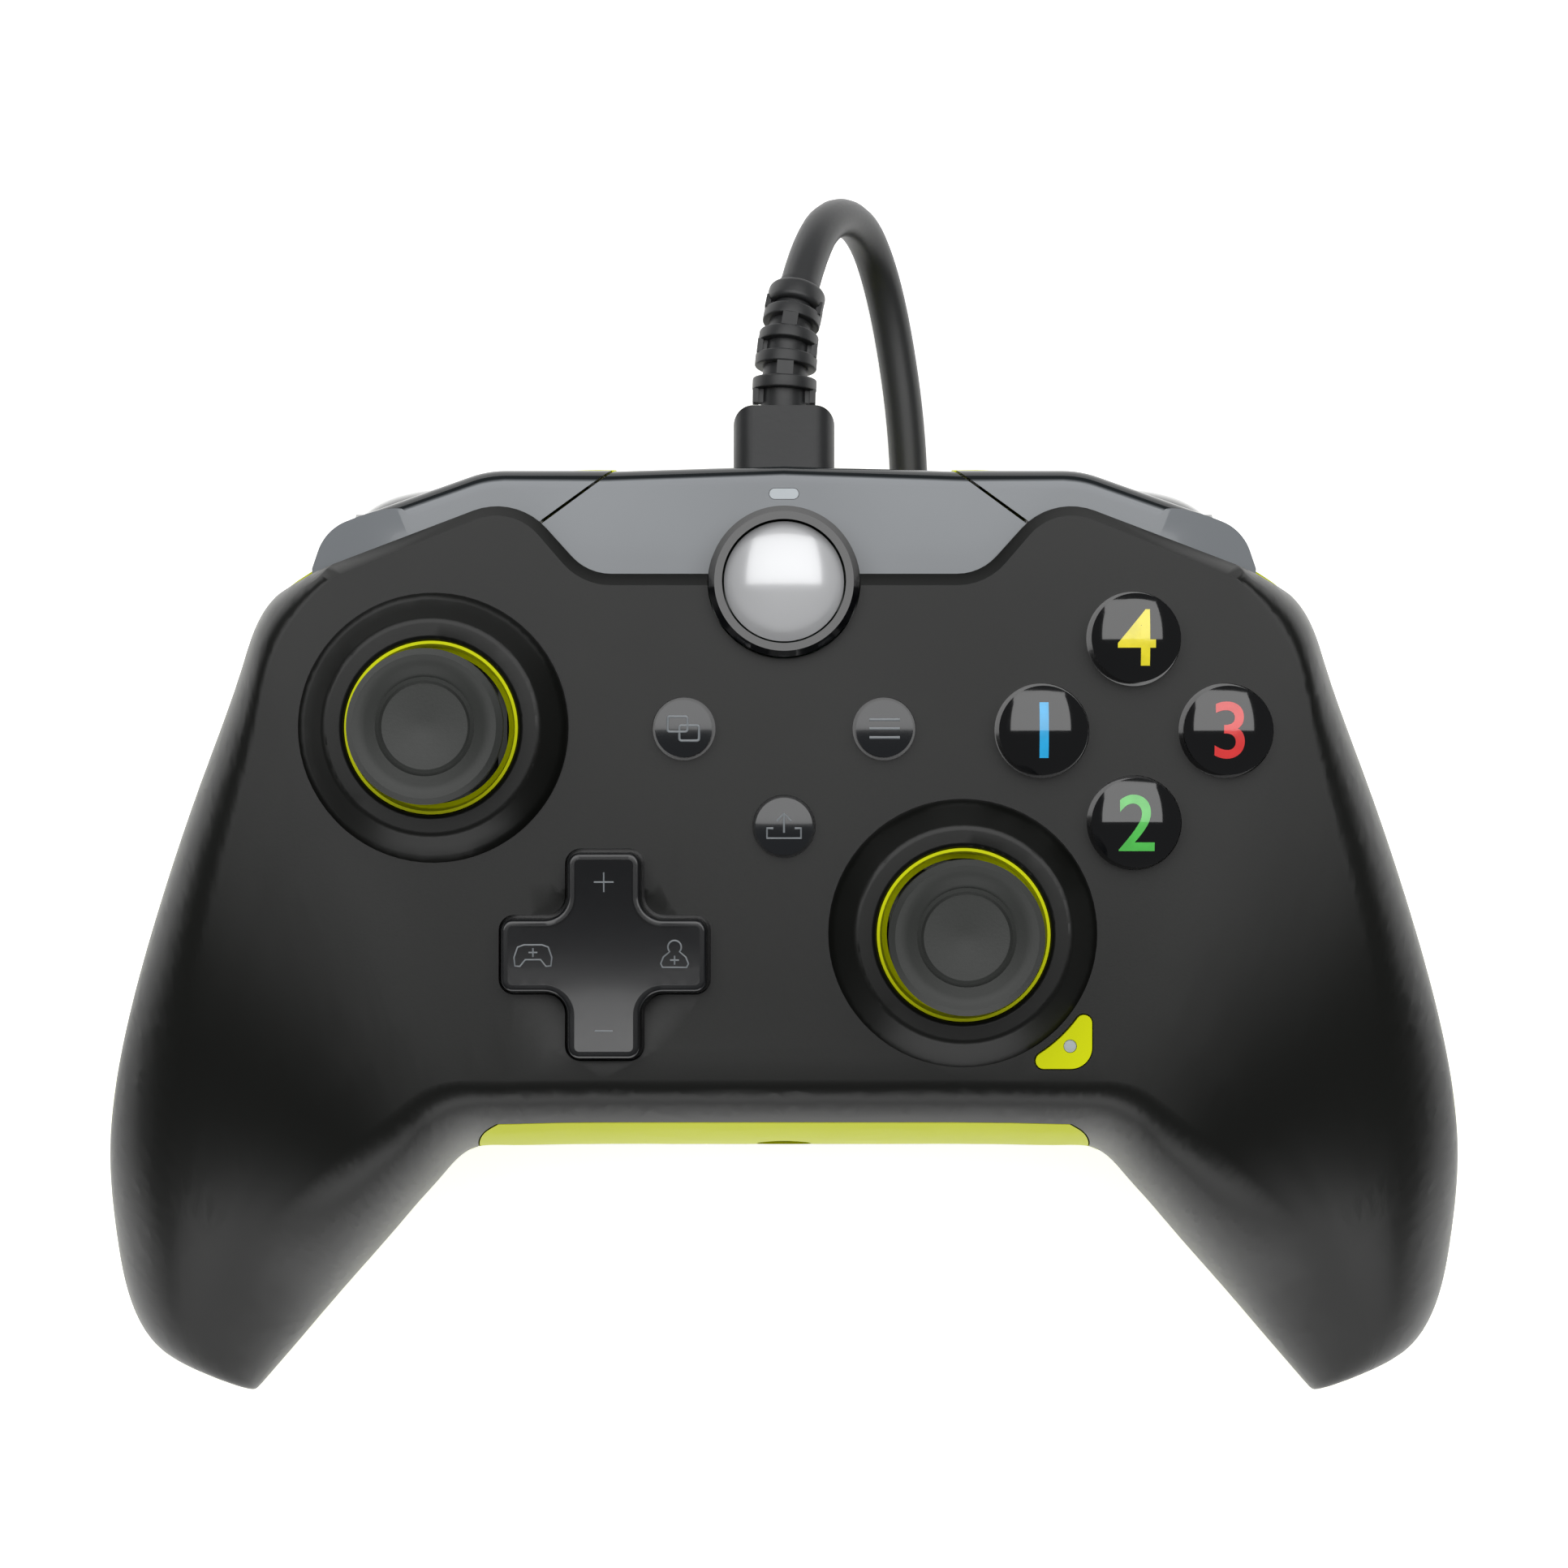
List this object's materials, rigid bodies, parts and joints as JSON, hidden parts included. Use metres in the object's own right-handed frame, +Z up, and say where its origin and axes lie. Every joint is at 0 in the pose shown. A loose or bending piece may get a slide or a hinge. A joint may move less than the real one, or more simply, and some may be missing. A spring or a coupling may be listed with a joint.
{
  "type": "gamepad controller",
  "caption": "Wired gamepad with thumb sticks, a direction pad, round face buttons, bumpers, triggers and a coiled cable with plug.",
  "frame": {"origin": "on the surface that the pad lies on, under the middle of its body's box, cable left out", "axes": "+X to the pad's right-hand grip, +Y to its cable, +Z up out of its face"},
  "size_m": [0.1566, 0.1416, 0.0585],
  "materials": {
    "shell_black": "soft-touch matte",
    "shell_yellow": "satin yellow-green",
    "gloss_grey": "glossy smoke grey",
    "gloss_black": "glossy black",
    "pearl": "pearl white",
    "lens_grey": "cloudy lens",
    "stick_rubber": "textured grey rubber",
    "membrane": "silicone",
    "mechanism": "plain moulding",
    "steel": "plain",
    "board": "green laminate",
    "chip": "moulded case",
    "cord": "matt dark grey",
    "plug_plastic": "satin dark grey"
  },
  "bodies": {
    "pad": {"front_shell": "shell_black", "back_shell": "shell_yellow", "center_bridge": "gloss_grey", "guide_bezel": "gloss_black", "status_lens": "lens_grey", "accent_badge": "shell_yellow", "mic_light": "lens_grey", "trigger_pins": "steel", "trigger_springs": "steel", "left_stick_frame": "mechanism", "right_stick_frame": "mechanism", "left_well_ring": "shell_yellow", "right_well_ring": "shell_yellow", "stick_sensors": "chip", "dpad_membrane": "membrane", "face_membrane": "membrane", "tact_switches": "mechanism", "main_board": "board", "board_chips": "chip", "usb_socket": "steel", "headset_jack": "chip", "left_motor": "steel", "right_motor": "steel", "shell_screws": "steel", "cable_plug": "plug_plastic", "cable_plug_tip": "steel", "plug_strain_relief": "cord", "cord_lead": "cord", "cord_coil": "cord", "cord_tail": "cord", "cord_tie": "cord", "usb_a_grip": "plug_plastic", "usb_a_shell": "steel"},
    "left_bumper": {"left_bumper": "gloss_grey"},
    "left_trigger": {"left_trigger": "gloss_black"},
    "right_bumper": {"right_bumper": "gloss_grey"},
    "right_trigger": {"right_trigger": "gloss_black"},
    "left_cross": {"left_cross_yoke": "mechanism"},
    "left_pin": {"left_stick_pin": "steel"},
    "left_stick": {"left_stick_shaft": "mechanism", "left_stick_cap": "stick_rubber"},
    "left_arch": {"left_arch_yoke": "mechanism"},
    "right_cross": {"right_cross_yoke": "mechanism"},
    "right_pin": {"right_stick_pin": "steel"},
    "right_stick": {"right_stick_shaft": "mechanism", "right_stick_cap": "stick_rubber"},
    "right_arch": {"right_arch_yoke": "mechanism"},
    "dpad_hub": {"dpad_hub": "mechanism"},
    "dpad": {"dpad": "gloss_black"},
    "face_button_top": {"face_button_top": "gloss_black"},
    "face_button_right": {"face_button_right": "gloss_black"},
    "face_button_bottom": {"face_button_bottom": "gloss_black"},
    "face_button_left": {"face_button_left": "gloss_black"},
    "view_button": {"view_button": "gloss_black"},
    "menu_button": {"menu_button": "gloss_black"},
    "share_button": {"share_button": "gloss_black"},
    "guide_button": {"guide_button": "pearl"},
    "left_motor_weight": {"left_motor_weight": "steel"},
    "right_motor_weight": {"right_motor_weight": "steel"}
  },
  "joints": [
    {"name": "left_bumper_press", "type": "hinge", "parent": "pad", "child": "left_bumper", "pos_m": [-0.0252, 0.0513, 0.031], "axis": [0, 0, 1], "range_deg": [0, 2.4], "stiffness_Nm_per_rad": 0.3, "springref_deg": -2.86},
    {"name": "left_trigger_pull", "type": "hinge", "parent": "pad", "child": "left_trigger", "pos_m": [-0.0393, 0.0405, 0.027], "axis": [-1, 0, 0], "range_deg": [0, 18], "stiffness_Nm_per_rad": 0.08, "springref_deg": -22.92},
    {"name": "right_bumper_press", "type": "hinge", "parent": "pad", "child": "right_bumper", "pos_m": [0.0252, 0.0513, 0.031], "axis": [0, 0, -1], "range_deg": [0, 2.4], "stiffness_Nm_per_rad": 0.3, "springref_deg": -2.86},
    {"name": "right_trigger_pull", "type": "hinge", "parent": "pad", "child": "right_trigger", "pos_m": [0.0393, 0.0405, 0.027], "axis": [-1, 0, 0], "range_deg": [0, 18], "stiffness_Nm_per_rad": 0.08, "springref_deg": -22.92},
    {"name": "left_stick_sideways", "type": "hinge", "parent": "pad", "child": "left_cross", "pos_m": [-0.03939, 0.0244, 0.0404], "axis": [0, 1, 0], "range_deg": [-18, 18], "stiffness_Nm_per_rad": 0.03},
    {"name": "left_stick_lengthways", "type": "hinge", "parent": "left_cross", "child": "left_pin", "pos_m": [-0.03939, 0.0244, 0.0404], "axis": [1, 0, 0], "range_deg": [-18, 18], "stiffness_Nm_per_rad": 0.03},
    {"name": "left_stick_click", "type": "slide", "parent": "left_pin", "child": "left_stick", "axis": [0, 0, -1], "range_m": [0, 0.0008], "stiffness_N_per_m": 800, "springref_m": -0.001},
    {"name": "left_arch_tilt", "type": "hinge", "parent": "pad", "child": "left_arch", "pos_m": [-0.03939, 0.0244, 0.0404], "axis": [1, 0, 0], "range_deg": [-18, 18]},
    {"name": "right_stick_sideways", "type": "hinge", "parent": "pad", "child": "right_cross", "pos_m": [0.02005, 0.00126, 0.0404], "axis": [0, 1, 0], "range_deg": [-18, 18], "stiffness_Nm_per_rad": 0.03},
    {"name": "right_stick_lengthways", "type": "hinge", "parent": "right_cross", "child": "right_pin", "pos_m": [0.02005, 0.00126, 0.0404], "axis": [1, 0, 0], "range_deg": [-18, 18], "stiffness_Nm_per_rad": 0.03},
    {"name": "right_stick_click", "type": "slide", "parent": "right_pin", "child": "right_stick", "axis": [0, 0, -1], "range_m": [0, 0.0008], "stiffness_N_per_m": 800, "springref_m": -0.001},
    {"name": "right_arch_tilt", "type": "hinge", "parent": "pad", "child": "right_arch", "pos_m": [0.02005, 0.00126, 0.0404], "axis": [1, 0, 0], "range_deg": [-18, 18]},
    {"name": "dpad_up_down", "type": "hinge", "parent": "pad", "child": "dpad_hub", "pos_m": [-0.0201, -0.00104, 0.043], "axis": [1, 0, 0], "range_deg": [-4, 4], "stiffness_Nm_per_rad": 0.06, "deforming": ["dpad_membrane"]},
    {"name": "dpad_left_right", "type": "hinge", "parent": "dpad_hub", "child": "dpad", "pos_m": [-0.0201, -0.00104, 0.043], "axis": [0, 1, 0], "range_deg": [-4, 4], "stiffness_Nm_per_rad": 0.06, "deforming": ["dpad_membrane"]},
    {"name": "face_top_press", "type": "slide", "parent": "pad", "child": "face_button_top", "axis": [0, 0, -1], "range_m": [0, 0.0013], "stiffness_N_per_m": 400, "springref_m": -0.001, "deforming": ["face_membrane"]},
    {"name": "face_right_press", "type": "slide", "parent": "pad", "child": "face_button_right", "axis": [0, 0, -1], "range_m": [0, 0.0013], "stiffness_N_per_m": 400, "springref_m": -0.001, "deforming": ["face_membrane"]},
    {"name": "face_bottom_press", "type": "slide", "parent": "pad", "child": "face_button_bottom", "axis": [0, 0, -1], "range_m": [0, 0.0013], "stiffness_N_per_m": 400, "springref_m": -0.001, "deforming": ["face_membrane"]},
    {"name": "face_left_press", "type": "slide", "parent": "pad", "child": "face_button_left", "axis": [0, 0, -1], "range_m": [0, 0.0013], "stiffness_N_per_m": 400, "springref_m": -0.001, "deforming": ["face_membrane"]},
    {"name": "view_press", "type": "slide", "parent": "pad", "child": "view_button", "axis": [0, 0, -1], "range_m": [0, 0.0007], "stiffness_N_per_m": 500, "springref_m": -0.001},
    {"name": "menu_press", "type": "slide", "parent": "pad", "child": "menu_button", "axis": [0, 0, -1], "range_m": [0, 0.0007], "stiffness_N_per_m": 500, "springref_m": -0.001},
    {"name": "share_press", "type": "slide", "parent": "pad", "child": "share_button", "axis": [0, 0, -1], "range_m": [0, 0.0007], "stiffness_N_per_m": 500, "springref_m": -0.001},
    {"name": "guide_press", "type": "slide", "parent": "pad", "child": "guide_button", "axis": [0, 0, -1], "range_m": [0, 0.0005], "stiffness_N_per_m": 600, "springref_m": -0.001},
    {"name": "left_motor_spin", "type": "hinge", "parent": "pad", "child": "left_motor_weight", "pos_m": [-0.05998, -0.00898, 0.024], "axis": [0, 0, 1], "continuous": true},
    {"name": "right_motor_spin", "type": "hinge", "parent": "pad", "child": "right_motor_weight", "pos_m": [0.05998, -0.00898, 0.024], "axis": [0, 0, 1], "continuous": true}
  ],
  "couplings": [
    {"joint": "left_arch_tilt", "follows": "left_stick_lengthways", "ratio": 1},
    {"joint": "right_arch_tilt", "follows": "right_stick_lengthways", "ratio": 1}
  ]
}
